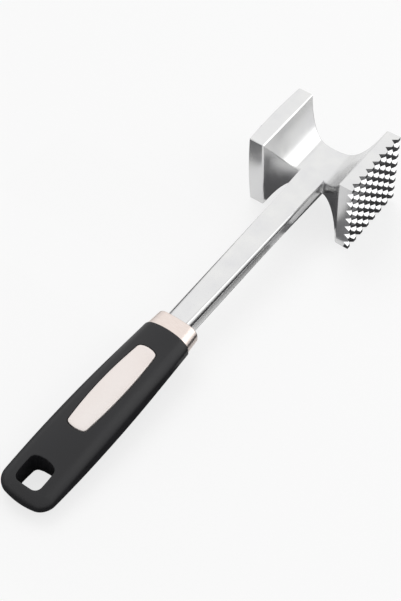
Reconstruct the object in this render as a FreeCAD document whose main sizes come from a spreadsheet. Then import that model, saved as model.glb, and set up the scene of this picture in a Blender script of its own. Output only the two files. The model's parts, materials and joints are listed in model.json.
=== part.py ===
"""Two-sided meat mallet: a cast head and shaft, pinned into a two-part handle.

Every sub-part is modelled about the shaft's axis, with y = 0 in the middle of the head: X is the
strike axis, towards the teeth, Y runs along the shaft from the butt to the head, and Z comes out of
the front of the handle. Each sub-part's Placement then puts the origin under the middle of the whole
mallet's box. All sizes are millimetres and live in the sheet called Sizes.
"""
import FreeCAD, Part
import os
import Sketcher
from FreeCAD import Vector

doc = FreeCAD.newDocument("MeatMallet")

# ---------------------------------------------------------------- driving dimensions
SIZES = {
    # head
    "face": (50.0, "side of both square striking plates"),
    "plate_gap": (51.0, "space between the two plates"),
    "smooth_plate": (11.2, "smooth plate, at the top of its crown"),
    "crown_radius": (347.0, "radius of the smooth plate's crown"),
    "toothed_plate": (5.75, "toothed plate, up to the valleys"),
    "tooth_pitch": (6.8, "tooth to tooth, both ways"),
    "tooth_flat": (0.3, "flat left on the tip of a tooth"),
    "waist_width": (23.6, "narrowest part of the waist, along the shaft"),
    "rim_bevel": (0.6, "bevel of the plates' inner edges"),
    # shaft and tang
    "shaft_width": (15.5, "across the shaft, along the strike axis"),
    "shaft_thick": (11.2, "through the shaft and the waist"),
    "shaft_round": (3.2, "rounding of the shaft's long edges"),
    "shaft_root": (1.5, "hollow rounding where the shaft leaves the waist"),
    "shaft_free": (113.2, "shaft between the head and the ferrule"),
    "tang_width": (9.0, "across the tang"),
    "tang_thick": (6.0, "through the tang"),
    "tang_end": (13.0, "tang beyond its second pin"),
    # ferrule
    "ferrule_length": (10.0, "along the shaft"),
    "ferrule_side": (5.05, "front end, beyond the shaft on either side"),
    "ferrule_cover": (1.25, "front end, over the shaft in front and behind"),
    "ferrule_flare": (0.9, "gain of each side towards the grip"),
    "ferrule_swell": (0.45, "gain of front and back towards the grip"),
    "ferrule_round": (5.2, "rounding of the ferrule's long edges"),
    "ferrule_wall": (1.3, "wall round the core's spigot"),
    "ferrule_nose": (2.7, "front wall, which the shaft passes through"),
    "ferrule_lip": (0.5, "bevel of the ferrule's front edge"),
    # grip
    "grip_length": (119.0, "from the ferrule to the butt"),
    "grip_step": (0.7, "grip beyond the ferrule on either side"),
    "grip_brow": (0.3, "grip over the ferrule in front and behind"),
    "palm_swell": (2.2, "gain of each side from the ferrule to the palm swell"),
    "palm_swell_at": (83.8, "from the ferrule to the palm swell"),
    "butt_taper": (0.5, "loss of each side from the palm swell to the butt"),
    "belly_rise": (2.0, "gain of front and back from the ferrule to the belly"),
    "belly_at": (57.0, "from the ferrule to the belly"),
    "butt_cover": (1.6, "rubber over the core at the butt"),
    "butt_bow": (45.0, "radius of the butt's end"),
    "butt_corner": (9.0, "corner radius of the butt, seen from the front"),
    "grip_round": (6.0, "rounding of the grip's long edges"),
    "grip_lip": (0.7, "bevel of the grip's edge at the ferrule"),
    # hang hole
    "hole_width": (15.6, "across"),
    "hole_length": (16.4, "along the handle"),
    "hole_side_swell": (0.3, "gain of each side from the corners to the middle"),
    "hole_near_bow": (18.0, "radius of the end towards the head"),
    "hole_far_bow": (70.0, "radius of the end towards the butt"),
    "hole_corner": (1.8, "corner radius towards the head"),
    "hole_far_corner": (3.2, "corner radius towards the butt"),
    "hole_wall": (6.7, "between the hole and the end of the butt"),
    "hole_lip": (0.7, "bevel of the hole's rims"),
    # core
    "core_wall": (1.5, "core over the tang, in front and behind"),
    "core_skin": (2.8, "rubber beside the core"),
    "core_web": (1.6, "rubber between the core and the hang hole"),
    # inlays
    "inlay_from_ferrule": (14.7, "between the ferrule and the inlays"),
    "inlay_to_hole": (21.4, "between the inlays and the hang hole"),
    "inlay_end_width": (11.4, "at the ends"),
    "inlay_swell": (1.7, "gain of each side from the ends to the middle"),
    "inlay_end_bow": (13.5, "radius of the ends"),
    "inlay_corner": (1.6, "corner radius"),
    "inlay_depth": (2.7, "recess under the rubber's surface, at the belly"),
    "inlay_proud": (0.3, "stands above the rubber"),
    "inlay_bevel": (0.5, "bevel round the face"),
    "peg_diameter": (3.0, "pegs under the inlays"),
    "peg_length": (2.4, "pegs under the inlays"),
    "peg_inset": (6.5, "from an inlay's end to its peg"),
    # pins
    "pin_diameter": (4.0, "dowel pins through core and tang"),
    "pin_spacing": (22.0, "between the two pins"),
    "pin_sunk": (0.3, "pin ends below the inlays' seats"),
    # clearances
    "fit": (0.1, "clearance of a piece in its socket, each side"),
    "pin_fit": (0.03, "clearance of a dowel pin in its holes, each side"),
    "window_gap": (0.25, "groove between inlay and rubber"),
}

sheet = doc.addObject("Spreadsheet::Sheet", "Sizes")
for row, (name, (size, note)) in enumerate(SIZES.items(), start=1):
    sheet.set(f"A{row}", str(size))
    sheet.setAlias(f"A{row}", name)
    sheet.set(f"B{row}", note)
doc.recompute()

# ---------------------------------------------------------------- named places, as expressions
SMOOTH_FACE = "-(Sizes.plate_gap / 2 + Sizes.smooth_plate)"
SMOOTH_INNER = "-Sizes.plate_gap / 2"
TOOTHED_INNER = "Sizes.plate_gap / 2"
VALLEY = "(Sizes.plate_gap / 2 + Sizes.toothed_plate)"
TIP = f"({VALLEY} + (Sizes.tooth_pitch - Sizes.tooth_flat) / 2)"
HALF_FACE = "Sizes.face / 2"
NOTCHES_PER_SIDE = "ceil(Sizes.face / (2 * Sizes.tooth_pitch) - 0.5)"

# distances from the middle of the head towards the butt
FERRULE_AT = "(Sizes.face / 2 + Sizes.shaft_free)"
SHOULDER_AT = f"({FERRULE_AT} + Sizes.ferrule_nose)"
GRIP_AT = f"({FERRULE_AT} + Sizes.ferrule_length)"
PALM_AT = f"({GRIP_AT} + Sizes.palm_swell_at)"
BUTT_AT = f"({GRIP_AT} + Sizes.grip_length)"
HOLE_AT = f"({BUTT_AT} - Sizes.hole_wall - Sizes.hole_length / 2)"
INLAY_FROM = f"({GRIP_AT} + Sizes.inlay_from_ferrule)"
INLAY_TO = f"({HOLE_AT} - Sizes.hole_length / 2 - Sizes.inlay_to_hole)"
INLAY_AT = f"(({INLAY_FROM} + {INLAY_TO}) / 2)"
HALF_INLAY = f"(({INLAY_TO} - {INLAY_FROM}) / 2)"
TANG_AT = f"({INLAY_AT} + Sizes.pin_spacing / 2 + Sizes.tang_end)"
OVERALL = f"({BUTT_AT} + Sizes.face / 2)"

# half widths across the handle, and half thicknesses through it
FERRULE_HALF_WIDTH = "(Sizes.shaft_width / 2 + Sizes.ferrule_side)"
FERRULE_HALF_THICK = "(Sizes.shaft_thick / 2 + Sizes.fit + Sizes.ferrule_cover)"
GRIP_HALF_WIDTH = f"({FERRULE_HALF_WIDTH} + Sizes.ferrule_flare + Sizes.grip_step)"
GRIP_HALF_THICK = f"({FERRULE_HALF_THICK} + Sizes.ferrule_swell + Sizes.grip_brow)"
PALM_HALF_WIDTH = f"({GRIP_HALF_WIDTH} + Sizes.palm_swell)"
BUTT_HALF_WIDTH = f"({PALM_HALF_WIDTH} - Sizes.butt_taper)"
BELLY_HALF_THICK = f"({GRIP_HALF_THICK} + Sizes.belly_rise)"
CORE_HALF_THICK = "(Sizes.tang_thick / 2 + Sizes.fit + Sizes.core_wall)"
BUTT_HALF_THICK = f"({CORE_HALF_THICK} + Sizes.butt_cover)"
SEAT = f"({BELLY_HALF_THICK} - Sizes.inlay_depth)"
HALF_INLAY_END = "Sizes.inlay_end_width / 2"


def value(expression):
    """The present value of an expression, as a plain number."""
    result = sheet.evalExpression(expression)
    return float(getattr(result, "Value", result))


# ---------------------------------------------------------------- bodies and sketches
def new_body(name):
    """An empty body whose Placement carries it from the shaft's axis into the part's frame."""
    body = doc.addObject("PartDesign::Body", name)
    body.Label = name
    body.setExpression("Placement.Base.x", f"-({SMOOTH_FACE} + {TIP}) / 2")
    body.setExpression("Placement.Base.y", f"{OVERALL} / 2 - {HALF_FACE}")
    body.setExpression("Placement.Base.z", HALF_FACE)
    return body


def origin_feature(body, role):
    return next(part for part in body.Origin.OriginFeatures if part.Role == role)


def new_sketch(body, name, plane, offset=None):
    """A sketch on one of the body's own origin planes, moved off it by an expression."""
    sketch = body.newObject("Sketcher::SketchObject", name)
    sketch.AttachmentSupport = [(origin_feature(body, plane), "")]
    sketch.MapMode = "FlatFace"
    if offset:
        sketch.setExpression("AttachmentOffset.Base.z", offset)
    return sketch


def bound(sketch, kind, *where, to):
    """Add a dimension to a sketch and bind it to an expression."""
    index = sketch.addConstraint(Sketcher.Constraint(kind, *where, value(to)))
    sketch.setExpression(f"Constraints[{index}]", to)


def place(sketch, geometry, point, x=None, y=None):
    """Hold a point of a sketch at expressions for x and y, measured from the sketch's origin."""
    if x is not None:
        bound(sketch, "DistanceX", -1, 1, geometry, point, to=x)
    if y is not None:
        bound(sketch, "DistanceY", -1, 1, geometry, point, to=y)


def bulged_arc(start, end, radius, bulge):
    """An arc between two points, to the left of the way from start to end if bulge is 1."""
    chord = end - start
    left = Vector(-chord.y, chord.x, 0).normalize()
    reach = (radius ** 2 - (chord.Length / 2) ** 2) ** 0.5
    top = (start + end) / 2 + left * bulge * (radius - reach)
    if bulge > 0:
        return Part.Arc(end, top, start)
    return Part.Arc(start, top, end)


def touching_arc(first, second, corner, radius):
    """A small arc that touches two larger ones from inside, near the corner where they meet."""
    rings = [Part.Circle(arc.Center, Vector(0, 0, 1), arc.Radius - radius)
             for arc in (first, second)]
    crossings = [Vector(point.X, point.Y, 0) for point in rings[0].intersect(rings[1])]
    centre = min(crossings, key=lambda point: (point - corner).Length)
    start, end = [arc.Center + (centre - arc.Center).normalize() * arc.Radius
                  for arc in (first, second)]
    middle = centre + (corner - centre).normalize() * radius
    return Part.Arc(start, middle, end)


def outline(sketch, corners, arcs=None, rounds=None, centres=None):
    """Draw a closed outline.

    arcs maps a side's number to its radius and the way it bulges, rounds maps a corner's number to
    the radius of a tangent arc there, and centres holds the middle of an arc whose ends are free.
    """
    arcs = arcs or {}
    rounds = rounds or {}
    centres = centres or {}
    points = [Vector(value(x), value(y), 0) for x, y in corners]
    sides = []
    for side, start in enumerate(points):
        end = points[(side + 1) % len(points)]
        if side in arcs:
            radius, bulge = arcs[side]
            geometry = sketch.addGeometry(bulged_arc(start, end, value(radius), bulge))
            starts_first = bulge < 0
            bound(sketch, "Radius", geometry, to=radius)
        else:
            geometry = sketch.addGeometry(Part.LineSegment(start, end))
            starts_first = True
        if side in centres:
            place(sketch, geometry, 3, *centres[side])
        ends = (1, 2) if starts_first else (2, 1)
        sides.append((geometry, *ends))
    for corner, (x, y) in enumerate(corners):
        before, _, end = sides[corner - 1]
        after, start, _ = sides[corner]
        if corner in rounds:
            arc = touching_arc(sketch.Geometry[before], sketch.Geometry[after], points[corner],
                               value(rounds[corner]))
            small = sketch.addGeometry(arc)
            bound(sketch, "Radius", small, to=rounds[corner])
            sketch.addConstraint(Sketcher.Constraint("Tangent", before, end, small, 1))
            sketch.addConstraint(Sketcher.Constraint("Tangent", small, 2, after, start))
        else:
            sketch.addConstraint(Sketcher.Constraint("Coincident", before, end, after, start))
            place(sketch, after, start, x, y)


def rounded_box(sketch, half_x, half_y, radius):
    """A rectangle with rounded corners, about the sketch's origin."""
    low = f"(-({half_y}))"
    high = f"({half_y})"
    right = f"({half_x})"
    left = f"(-({half_x}))"
    corners = [(f"{left} + {radius}", low), (f"{right} - {radius}", low),
               (right, f"{low} + {radius}"), (right, f"{high} - {radius}"),
               (f"{right} - {radius}", high), (f"{left} + {radius}", high),
               (left, f"{high} - {radius}"), (left, f"{low} + {radius}")]
    outline(sketch, corners, {side: (radius, -1) for side in (1, 3, 5, 7)})


def circle(sketch, x, y, diameter):
    centre = Vector(value(x), value(y), 0)
    index = sketch.addGeometry(Part.Circle(centre, Vector(0, 0, 1), value(diameter) / 2))
    place(sketch, index, 3, x, y)
    bound(sketch, "Diameter", index, to=diameter)


# ---------------------------------------------------------------- features
def feature(body, kind, name, sketch, length=None, **settings):
    """A feature made from a sketch. length is an expression."""
    made = body.newObject(f"PartDesign::{kind}", name)
    made.Profile = sketch
    for setting, wanted in settings.items():
        setattr(made, setting, wanted)
    if length:
        made.setExpression("Length", length)
    doc.recompute()
    return made


def through(body, name, sketch):
    """Cut a sketch right through the body, both ways."""
    return feature(body, "Pocket", name, sketch, SideType="Symmetric", Type="ThroughAll")


def pattern(body, name, original, axis, spacing, count):
    """Copies of a feature in a row along one of the body's axes."""
    row = body.newObject("PartDesign::LinearPattern", name)
    row.Originals = [original]
    row.Direction = (origin_feature(body, axis), [""])
    row.Mode = "Spacing"
    row.setExpression("Offset", spacing)
    row.setExpression("Occurrences", count)
    body.Tip = row
    doc.recompute()


def mirror(body, name, originals):
    """Repeat features of the front on the back."""
    copy = body.newObject("PartDesign::Mirrored", name)
    copy.Originals = originals
    copy.MirrorPlane = (origin_feature(body, "XY_Plane"), [""])
    body.Tip = copy
    doc.recompute()


def dress(body, kind, name, setting, size, test):
    """Round or bevel those edges of the body's present solid that pass a test."""
    base = body.Tip
    edges = [f"Edge{n}" for n, edge in enumerate(base.Shape.Edges, start=1) if test(edge)]
    made = body.newObject(f"PartDesign::{kind}", name)
    made.Base = (base, edges)
    made.setExpression(setting, size)
    body.Tip = made
    doc.recompute()


def fillet(body, name, radius, test):
    dress(body, "Fillet", name, "Radius", radius, test)


def chamfer(body, name, size, test):
    dress(body, "Chamfer", name, "Size", size, test)


def runs_along(edge, direction):
    """True for a straight edge parallel to a direction."""
    if len(edge.Vertexes) < 2:
        return False
    chord = edge.Vertexes[1].Point - edge.Vertexes[0].Point
    return abs(abs(chord.dot(direction)) - edge.Length) < 0.001


def at_y(edge, y):
    """True where an edge lies in the plane across the shaft at y, in the body's coordinates."""
    return all(abs(vertex.Y - y) < 0.01 for vertex in edge.Vertexes)


# ---------------------------------------------------------------- head casting
def line(sketch, start, end):
    points = [Vector(value(x), value(y), 0) for x, y in (start, end)]
    return sketch.addGeometry(Part.LineSegment(*points))


def join(sketch, first, first_end, second, second_end):
    sketch.addConstraint(Sketcher.Constraint("Coincident", first, first_end, second, second_end))


def parabola(sketch, poles):
    """A smooth curve between the first and last of three placed poles."""
    points = [Vector(value(x), value(y), 0) for x, y in poles]
    knobs = [sketch.addGeometry(Part.Circle(point, Vector(0, 0, 1), 1.0), True)
             for point in points]
    for knob in knobs:
        sketch.addConstraint(Sketcher.Constraint("Weight", knob, 1.0))
    curve = sketch.addGeometry(Part.BSplineCurve(points, None, None, False, 2, None, False))
    for order, (knob, pole) in enumerate(zip(knobs, poles)):
        sketch.addConstraint(Sketcher.Constraint("InternalAlignment:Sketcher::BSplineControlPoint",
                                                 knob, 3, curve, order))
        place(sketch, knob, 3, *pole)
    return curve


def head_profile(body):
    """The head seen along the shaft: two plates and the waist that scoops down between them."""
    sketch = new_sketch(body, "HeadProfile", "XZ_Plane")
    half_shaft = "Sizes.shaft_width / 2"
    ends = {"smooth": (SMOOTH_FACE, SMOOTH_INNER, f"-{half_shaft}"),
            "toothed": (TIP, TOOTHED_INNER, half_shaft)}
    rims = {}
    scoops = {}
    for side, (face, inner, root) in ends.items():
        for sign in (-1, 1):
            height = f"{sign} * {HALF_FACE}"
            waist = f"{sign} * Sizes.shaft_thick / 2"
            rims[side, sign] = line(sketch, (face, height), (inner, height))
            scoops[side, sign] = parabola(sketch, [(inner, height), (f"({inner} + {root}) / 2", waist),
                                                   (root, waist)])
            join(sketch, rims[side, sign], 2, scoops[side, sign], 1)
            place(sketch, rims[side, sign], 1, face, height)
        end = line(sketch, (face, f"-{HALF_FACE}"), (face, HALF_FACE))
        join(sketch, end, 1, rims[side, -1], 1)
        join(sketch, end, 2, rims[side, 1], 1)
    for sign in (-1, 1):
        waist = f"{sign} * Sizes.shaft_thick / 2"
        flat = line(sketch, (f"-{half_shaft}", waist), (half_shaft, waist))
        join(sketch, flat, 1, scoops["smooth", sign], 2)
        join(sketch, flat, 2, scoops["toothed", sign], 2)
    return sketch


def crown_cutter(body):
    """What lies beyond a sphere that touches the middle of the smooth face."""
    sketch = new_sketch(body, "CrownCutter", "XZ_Plane")
    reach = "Sizes.face"
    rim = f"({SMOOTH_FACE} + Sizes.crown_radius - sqrt(Sizes.crown_radius ^ 2 - {reach} ^ 2))"
    outside = f"({SMOOTH_FACE} - {HALF_FACE})"
    outline(sketch, [(SMOOTH_FACE, "0"), (rim, reach), (outside, reach), (outside, "0")],
            {0: ("Sizes.crown_radius", 1)})
    return sketch


def side_scoops(body):
    """Two arcs, from plate to plate, that narrow the waist along the shaft."""
    sketch = new_sketch(body, "SideScoops", "XY_Plane")
    rise = f"({HALF_FACE} - Sizes.waist_width / 2)"
    radius = f"(((Sizes.plate_gap / 2) ^ 2 + {rise} ^ 2) / (2 * {rise}))"
    for sign in (-1, 1):
        edge = f"{sign} * {HALF_FACE}"
        beyond = f"{sign} * Sizes.face"
        outline(sketch, [(SMOOTH_INNER, edge), (TOOTHED_INNER, edge), (TOOTHED_INNER, beyond),
                         (SMOOTH_INNER, beyond)], {0: (radius, -sign)})
    return sketch


def notch(body, name, plane):
    """A square V between two rows of teeth, at the first row's outer side."""
    sketch = new_sketch(body, name, plane)
    depth = "Sizes.tooth_pitch"
    middle = f"(-{NOTCHES_PER_SIDE} * Sizes.tooth_pitch)"
    outer = f"({VALLEY} + {depth})"
    outline(sketch, [(VALLEY, middle), (outer, f"{middle} - {depth}"),
                     (outer, f"{middle} + {depth}")])
    return sketch


def make_head_casting():
    body = new_body("head_casting")
    feature(body, "Pad", "Head", head_profile(body), "Sizes.face", SideType="Symmetric")
    feature(body, "Groove", "Crown", crown_cutter(body),
            ReferenceAxis=(origin_feature(body, "X_Axis"), [""]), Angle=360.0)
    through(body, "SideScoopCuts", side_scoops(body))

    def inner_edge(edge):
        """True for an edge between a plate's rim and one of the scoops."""
        middle = edge.CenterOfMass
        return (abs(abs(middle.x) - value(TOOTHED_INNER)) < 0.01
                and max(abs(middle.y), abs(middle.z)) > value(HALF_FACE) - 0.01)

    chamfer(body, "InnerRims", "Sizes.rim_bevel", inner_edge)
    notches = f"2 * {NOTCHES_PER_SIDE} + 1"
    across = through(body, "NotchAcross", notch(body, "NotchAcrossShape", "XY_Plane"))
    pattern(body, "NotchesAcross", across, "Y_Axis", "Sizes.tooth_pitch", notches)
    along = through(body, "NotchAlong", notch(body, "NotchAlongShape", "XZ_Plane"))
    pattern(body, "NotchesAlong", along, "Z_Axis", "Sizes.tooth_pitch", notches)

    shaft = new_sketch(body, "ShaftSection", "XZ_Plane")
    rounded_box(shaft, "Sizes.shaft_width / 2", "Sizes.shaft_thick / 2", "Sizes.shaft_round")
    feature(body, "Pad", "Shaft", shaft, SHOULDER_AT)

    def root(edge):
        """True for the upright edges where the shaft's sides leave the waist."""
        return (runs_along(edge, Vector(0, 0, 1))
                and abs(abs(edge.CenterOfMass.x) - value("Sizes.shaft_width / 2")) < 0.01
                and edge.CenterOfMass.y > -value(HALF_FACE))

    fillet(body, "ShaftRoot", "Sizes.shaft_root", root)

    tang = new_sketch(body, "TangSection", "XZ_Plane")
    half_width = "Sizes.tang_width / 2"
    half_thick = "Sizes.tang_thick / 2"
    outline(tang, [(f"-{half_width}", f"-{half_thick}"), (half_width, f"-{half_thick}"),
                   (half_width, half_thick), (f"-{half_width}", half_thick)])
    feature(body, "Pad", "Tang", tang, TANG_AT)
    through(body, "PinHoles", pin_circles(body, "Sizes.pin_diameter + 2 * Sizes.pin_fit"))
    return body


def pin_circles(body, diameter):
    """The two places where a dowel pin crosses the core and the tang."""
    sketch = new_sketch(body, "PinCircles", "XY_Plane")
    for sign in (-1, 1):
        circle(sketch, "0", f"-{INLAY_AT} + {sign} * Sizes.pin_spacing / 2", diameter)
    return sketch


# ---------------------------------------------------------------- ferrule
def spigot_section(sketch, gap):
    """Section of the core's spigot, drawn that far outside it."""
    less = "Sizes.ferrule_wall - Sizes.fit"
    rounded_box(sketch, f"{FERRULE_HALF_WIDTH} - {less} + {gap} - 2 * Sizes.fit",
                f"{FERRULE_HALF_THICK} - {less} + {gap} - 2 * Sizes.fit",
                f"(Sizes.ferrule_round - {less} + {gap} - 2 * Sizes.fit)")


def make_ferrule():
    body = new_body("ferrule")
    front = new_sketch(body, "FrontSection", "XZ_Plane", FERRULE_AT)
    rounded_box(front, FERRULE_HALF_WIDTH, FERRULE_HALF_THICK, "Sizes.ferrule_round")
    back = new_sketch(body, "BackSection", "XZ_Plane", GRIP_AT)
    rounded_box(back, f"{FERRULE_HALF_WIDTH} + Sizes.ferrule_flare",
                f"{FERRULE_HALF_THICK} + Sizes.ferrule_swell", "Sizes.ferrule_round")
    doc.recompute()
    feature(body, "AdditiveLoft", "Collar", front, Sections=[back], Ruled=True)
    chamfer(body, "FrontEdge", "Sizes.ferrule_lip", lambda edge: at_y(edge, -value(FERRULE_AT)))

    opening = new_sketch(body, "ShaftOpening", "XZ_Plane")
    rounded_box(opening, "Sizes.shaft_width / 2 + Sizes.fit", "Sizes.shaft_thick / 2 + Sizes.fit",
                "Sizes.shaft_round")
    through(body, "Opening", opening)
    socket = new_sketch(body, "SpigotSocket", "XZ_Plane", GRIP_AT)
    spigot_section(socket, "Sizes.fit")
    feature(body, "Pocket", "Socket", socket, "Sizes.ferrule_length - Sizes.ferrule_nose")
    return body


# ---------------------------------------------------------------- shapes shared in the handle
def handle_outline(sketch, inset):
    """The handle seen from the front, drawn that far inside the grip's own outline."""
    front = f"({GRIP_HALF_WIDTH} - {inset})"
    palm = f"({PALM_HALF_WIDTH} - {inset})"
    butt = f"({BUTT_HALF_WIDTH} - {inset})"
    end_y = f"(-{BUTT_AT} + {inset})"
    bow = f"(Sizes.butt_bow - {inset})"
    corner = f"(Sizes.butt_corner - {inset})"
    corner_y = f"({end_y} + {bow} - sqrt({bow} ^ 2 - {butt} ^ 2))"
    front_y = f"-{GRIP_AT}"
    palm_y = f"-{PALM_AT}"

    def swell(rise, run):
        return f"(({run} ^ 2 + {rise} ^ 2) / (2 * {rise}))"

    ahead = swell("Sizes.palm_swell", "Sizes.palm_swell_at")
    behind = swell("Sizes.butt_taper", f"({palm_y} - {corner_y})")
    corners = [(f"-{front}", front_y), (f"-{palm}", palm_y), (f"-{butt}", corner_y),
               (butt, corner_y), (palm, palm_y), (front, front_y)]
    outline(sketch, corners,
            arcs={0: (ahead, -1), 1: (behind, -1), 2: (bow, -1), 3: (behind, -1), 4: (ahead, -1)},
            rounds={2: corner, 3: corner},
            centres={1: (None, palm_y), 2: ("0", f"{end_y} + {bow}"), 3: (None, palm_y)})


def inlay_outline(sketch, grow):
    """An inlay seen from the front, drawn that far outside its own outline."""
    half_length = f"({HALF_INLAY} + {grow})"
    half_end = f"({HALF_INLAY_END} + {grow})"
    half_middle = f"({HALF_INLAY_END} + Sizes.inlay_swell + {grow})"
    bow = f"(Sizes.inlay_end_bow + {grow})"
    corner = f"(Sizes.inlay_corner + {grow})"
    reach = f"({half_length} - {bow} + sqrt({bow} ^ 2 - {half_end} ^ 2))"
    side = f"(({reach} ^ 2 + Sizes.inlay_swell ^ 2) / (2 * Sizes.inlay_swell))"
    middle = f"-{INLAY_AT}"
    corners = [(f"-{half_end}", f"{middle} - {reach}"), (half_end, f"{middle} - {reach}"),
               (half_end, f"{middle} + {reach}"), (f"-{half_end}", f"{middle} + {reach}")]
    outline(sketch, corners,
            arcs={0: (bow, -1), 1: (side, -1), 2: (bow, -1), 3: (side, -1)},
            rounds={number: corner for number in range(4)},
            centres={0: ("0", f"{middle} - {half_length} + {bow}"),
                     1: (f"{half_middle} - {side}", middle),
                     2: ("0", f"{middle} + {half_length} - {bow}"),
                     3: (f"{side} - {half_middle}", middle)})


def hole_outline(sketch, grow):
    """The hang hole seen from the front, drawn that far outside its walls."""
    half_middle = f"(Sizes.hole_width / 2 + {grow})"
    half_end = f"({half_middle} - Sizes.hole_side_swell)"
    near_bow = f"(Sizes.hole_near_bow + {grow})"
    far_bow = f"(Sizes.hole_far_bow + {grow})"
    near = f"(-{HOLE_AT} + Sizes.hole_length / 2 + {grow} - {near_bow})"
    far = f"(-{HOLE_AT} - Sizes.hole_length / 2 - {grow} + {far_bow})"
    near_y = f"({near} + sqrt({near_bow} ^ 2 - {half_end} ^ 2))"
    far_y = f"({far} - sqrt({far_bow} ^ 2 - {half_end} ^ 2))"
    reach = f"(({near_y} - {far_y}) / 2)"
    middle = f"(({near_y} + {far_y}) / 2)"
    side = f"(({reach} ^ 2 + Sizes.hole_side_swell ^ 2) / (2 * Sizes.hole_side_swell))"
    corners = [(f"-{half_end}", far_y), (half_end, far_y), (half_end, near_y),
               (f"-{half_end}", near_y)]
    outline(sketch, corners,
            arcs={0: (far_bow, -1), 1: (side, -1), 2: (near_bow, -1), 3: (side, -1)},
            rounds={0: f"(Sizes.hole_far_corner + {grow})", 1: f"(Sizes.hole_far_corner + {grow})",
                    2: f"(Sizes.hole_corner + {grow})", 3: f"(Sizes.hole_corner + {grow})"},
            centres={0: ("0", far), 1: (f"{half_middle} - {side}", middle), 2: ("0", near),
                     3: (f"{side} - {half_middle}", middle)})


def over_the_belly(sketch, lift):
    """The room over the arched front of the grip, seen from the side and raised by lift."""
    front = f"({GRIP_HALF_THICK} + {lift})"
    belly = f"({BELLY_HALF_THICK} + {lift})"
    butt = f"({BUTT_HALF_THICK} + {lift})"
    above = f"({BELLY_HALF_THICK} * 2)"
    front_y = f"-{GRIP_AT}"
    belly_y = f"({front_y} - Sizes.belly_at)"
    butt_y = f"-{BUTT_AT}"
    sway = "((Sizes.belly_at ^ 2 + Sizes.belly_rise ^ 2) / (4 * Sizes.belly_rise))"
    drop = f"({BELLY_HALF_THICK} - {BUTT_HALF_THICK})"
    run = "(Sizes.grip_length - Sizes.belly_at)"
    behind = f"(({run} ^ 2 + {drop} ^ 2) / (2 * {drop}))"
    corners = [(front_y, front), (f"({front_y} + {belly_y}) / 2", f"({front} + {belly}) / 2"),
               (belly_y, belly), (butt_y, butt), (butt_y, above), (front_y, above)]
    outline(sketch, corners, {0: (sway, 1), 1: (sway, -1), 2: (behind, -1)})


# ---------------------------------------------------------------- handle core
def make_handle_core():
    body = new_body("handle_core")
    plan = new_sketch(body, "Plan", "XY_Plane")
    handle_outline(plan, "Sizes.core_skin")
    feature(body, "Pad", "Slab", plan, f"2 * {CORE_HALF_THICK}", SideType="Symmetric")
    seats = new_sketch(body, "Seats", "XY_Plane")
    inlay_outline(seats, "Sizes.window_gap - Sizes.fit")
    feature(body, "Pad", "InlaySeats", seats, f"2 * {SEAT}", SideType="Symmetric")
    spigot = new_sketch(body, "SpigotSection", "XZ_Plane", GRIP_AT)
    spigot_section(spigot, "0")
    feature(body, "Pad", "Spigot", spigot,
            "Sizes.ferrule_length - Sizes.ferrule_nose - Sizes.fit", Reversed=True)

    socket = new_sketch(body, "TangSocket", "XZ_Plane", SHOULDER_AT)
    half_width = "(Sizes.tang_width / 2 + Sizes.fit)"
    half_thick = "(Sizes.tang_thick / 2 + Sizes.fit)"
    outline(socket, [(f"-{half_width}", f"-{half_thick}"), (half_width, f"-{half_thick}"),
                     (half_width, half_thick), (f"-{half_width}", half_thick)])
    feature(body, "Pocket", "Socket", socket, f"{TANG_AT} - {SHOULDER_AT} + Sizes.fit",
            Reversed=True)
    loop = new_sketch(body, "HoleLoop", "XY_Plane")
    hole_outline(loop, "Sizes.core_web")
    through(body, "Loop", loop)
    through(body, "PinHoles", pin_circles(body, "Sizes.pin_diameter + 2 * Sizes.pin_fit"))
    pegs = new_sketch(body, "PegSockets", "XY_Plane", SEAT)
    peg_circles(pegs, "Sizes.peg_diameter + 2 * Sizes.fit")
    sockets = feature(body, "Pocket", "FrontPegSockets", pegs, "Sizes.peg_length + Sizes.fit")
    mirror(body, "BackPegSockets", [sockets])
    return body


def peg_circles(sketch, diameter):
    """The two places where an inlay is pegged to the core."""
    for sign in (-1, 1):
        circle(sketch, "0", f"-{INLAY_AT} + {sign} * ({HALF_INLAY} - Sizes.peg_inset)", diameter)


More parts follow.
